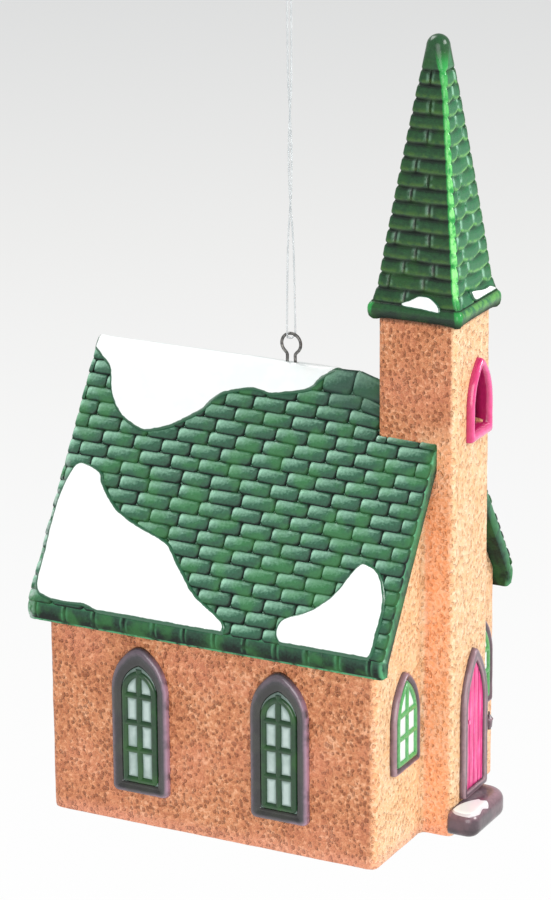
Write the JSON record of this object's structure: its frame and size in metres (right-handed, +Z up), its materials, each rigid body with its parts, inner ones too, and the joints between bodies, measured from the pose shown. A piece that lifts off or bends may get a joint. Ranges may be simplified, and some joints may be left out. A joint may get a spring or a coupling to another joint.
{
  "type": "hanging ceramic church ornament",
  "caption": "Hollow glazed ceramic church with a shingled roof, snow and a spired bell tower, hung by a thread through a wire eye in its ridge.",
  "frame": {"origin": "inside of the top of the hanging loop, where it rests on its hook", "axes": "+Z up along the hanging thread, -Y towards the church's front door, +X to the right of someone facing the door"},
  "size_m": [0.0494, 0.0696, 0.1459],
  "materials": {
    "wall_glaze": "sponged orange and tan glaze, satin",
    "roof_glaze": "green glaze, darker in the joints, glossy",
    "spire_glaze": "brighter green glaze, glossy",
    "snow_glaze": "white glaze, glossy",
    "frame_glaze": "mauve grey glaze, worn on the edges",
    "pane_glaze": "pale grey green glaze",
    "lattice_glaze": "dark green glaze",
    "door_glaze": "magenta glaze, brushed",
    "step_glaze": "mauve brown glaze",
    "bare_clay": "unglazed",
    "eye_wire": "dull grey wire",
    "thread": "clear nylon monofilament"
  },
  "bodies": {
    "hanger": {"hanging_loop": "thread", "thread_knot": "thread"},
    "thread": {"hanging_thread": "thread"},
    "ornament": {"wire_eye": "eye_wire", "nave_walls": "wall_glaze", "floor_plate": "bare_clay", "nave_roof": "roof_glaze", "snow_ridge": "snow_glaze", "snow_rear_left": "snow_glaze", "snow_front_left": "snow_glaze", "snow_rear_right": "snow_glaze", "snow_front_right": "snow_glaze", "tower_walls": "wall_glaze", "belfry_frame": "door_glaze", "spire_cornice": "spire_glaze", "spire": "spire_glaze", "cornice_snow_left": "snow_glaze", "cornice_snow_front": "snow_glaze", "door_frame": "frame_glaze", "door_leaf": "door_glaze", "door_knob": "door_glaze", "wall_lantern": "step_glaze", "doorstep": "step_glaze", "doorstep_snow": "snow_glaze", "frame_front_left": "frame_glaze", "frame_front_right": "frame_glaze", "frame_left_front": "frame_glaze", "frame_left_rear": "frame_glaze", "frame_right_front": "frame_glaze", "frame_right_rear": "frame_glaze", "panes_front_left": "pane_glaze", "panes_front_right": "pane_glaze", "panes_left_front": "pane_glaze", "panes_left_rear": "pane_glaze", "panes_right_front": "pane_glaze", "panes_right_rear": "pane_glaze", "lattice_front_left": "lattice_glaze", "lattice_front_right": "lattice_glaze", "lattice_left_front": "lattice_glaze", "lattice_left_rear": "lattice_glaze", "lattice_right_front": "lattice_glaze", "lattice_right_rear": "lattice_glaze"}
  },
  "joints": [
    {"name": "thread_twist", "type": "hinge", "parent": "hanger", "child": "thread", "pos_m": [0, 0, -0.0143], "axis": [0, 0, 1], "continuous": true},
    {"name": "eye_sway", "type": "hinge", "parent": "thread", "child": "ornament", "pos_m": [0, 0, -0.0683], "axis": [0, 1, 0], "range_deg": [-90, 90]}
  ]
}
